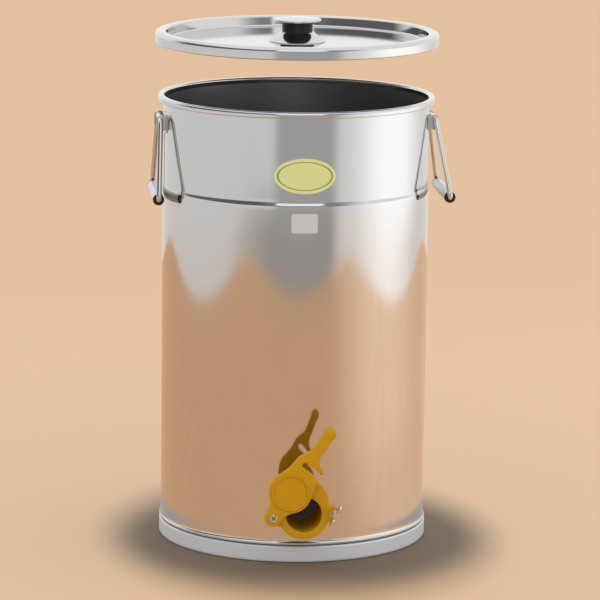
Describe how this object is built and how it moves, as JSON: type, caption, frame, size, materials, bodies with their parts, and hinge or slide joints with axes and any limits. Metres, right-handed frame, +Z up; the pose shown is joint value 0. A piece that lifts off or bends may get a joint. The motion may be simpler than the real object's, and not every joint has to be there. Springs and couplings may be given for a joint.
{
  "type": "honey settling tank",
  "caption": "Upright polished steel drum on a foot ring, with a lift-off knobbed lid, swinging bail handles and a low plastic gate tap for letting out honey.",
  "frame": {"origin": "centre of the foot ring on the ground, on the drum's axis", "axes": "+Z up along the drum's axis, -Y out of the tap, +X towards the handle on the right as seen from the tap's side"},
  "size_m": [0.3503, 0.379, 0.6022],
  "materials": {
    "polished_steel": "mirror polished stainless steel",
    "satin_steel": "satin stainless steel",
    "bright_fittings": "bright drawn and pressed steel",
    "yellow_plastic": "semi-gloss moulded plastic, honey yellow",
    "black_plastic": "satin black moulded plastic",
    "seal_rubber": "matte sealing rubber",
    "brass": "turned brass",
    "label_film": "printed film, pale yellow",
    "sticker_film": "printed film, pale silver"
  },
  "bodies": {
    "tank": {"tank_wall": "polished_steel", "tank_floor": "satin_steel", "foot_ring": "satin_steel", "oval_label": "label_film", "small_sticker": "sticker_film", "left_bracket": "bright_fittings", "right_bracket": "bright_fittings", "tap_body": "yellow_plastic", "tap_outer_gasket": "seal_rubber", "tap_inner_gasket": "seal_rubber", "tap_lock_nut": "yellow_plastic", "pivot_screw": "bright_fittings", "pivot_washer": "bright_fittings", "pivot_nut": "bright_fittings", "clamp_bolt": "bright_fittings", "clamp_washer": "bright_fittings"},
    "lid": {"lid_pan": "polished_steel", "knob_ferrule": "polished_steel", "knob_neck": "black_plastic", "knob_cap": "polished_steel", "knob_insert": "brass", "knob_screw": "bright_fittings", "knob_washer": "bright_fittings"},
    "left_handle": {"left_bail": "bright_fittings"},
    "right_handle": {"right_bail": "bright_fittings"},
    "left_grip": {"left_grip_tube": "satin_steel", "left_grip_bushes": "black_plastic"},
    "right_grip": {"right_grip_tube": "satin_steel", "right_grip_bushes": "black_plastic"},
    "gate": {"gate_plate": "yellow_plastic"},
    "wing_nut": {"clamp_wing_nut": "bright_fittings"}
  },
  "joints": [
    {"name": "lid_lift", "type": "slide", "parent": "tank", "child": "lid", "axis": [0, 0, 1], "range_m": [-0.0716, 0.1]},
    {"name": "left_handle_swing", "type": "hinge", "parent": "tank", "child": "left_handle", "pos_m": [-0.1576, -0.00578, 0.488], "axis": [-0.0366, 0.9993, 0], "range_deg": [-1, 137.6]},
    {"name": "right_handle_swing", "type": "hinge", "parent": "tank", "child": "right_handle", "pos_m": [0.1576, 0.00578, 0.488], "axis": [0.0366, -0.9993, 0], "range_deg": [-8.2, 130.4]},
    {"name": "left_grip_roll", "type": "hinge", "parent": "left_handle", "child": "left_grip", "pos_m": [-0.16129, -0.00591, 0.40008], "axis": [-0.0366, 0.9993, 0], "continuous": true},
    {"name": "right_grip_roll", "type": "hinge", "parent": "right_handle", "child": "right_grip", "pos_m": [0.17227, 0.00632, 0.40123], "axis": [0.0366, -0.9993, 0], "continuous": true},
    {"name": "gate_swing", "type": "hinge", "parent": "tank", "child": "gate", "pos_m": [-0.03444, -0.2009, 0.06445], "axis": [0, -1, 0], "range_deg": [-53.5, 41.5]},
    {"name": "wing_nut_turn", "type": "hinge", "parent": "tank", "child": "wing_nut", "pos_m": [0.03444, -0.208, 0.06855], "axis": [0, -1, 0], "continuous": true}
  ]
}
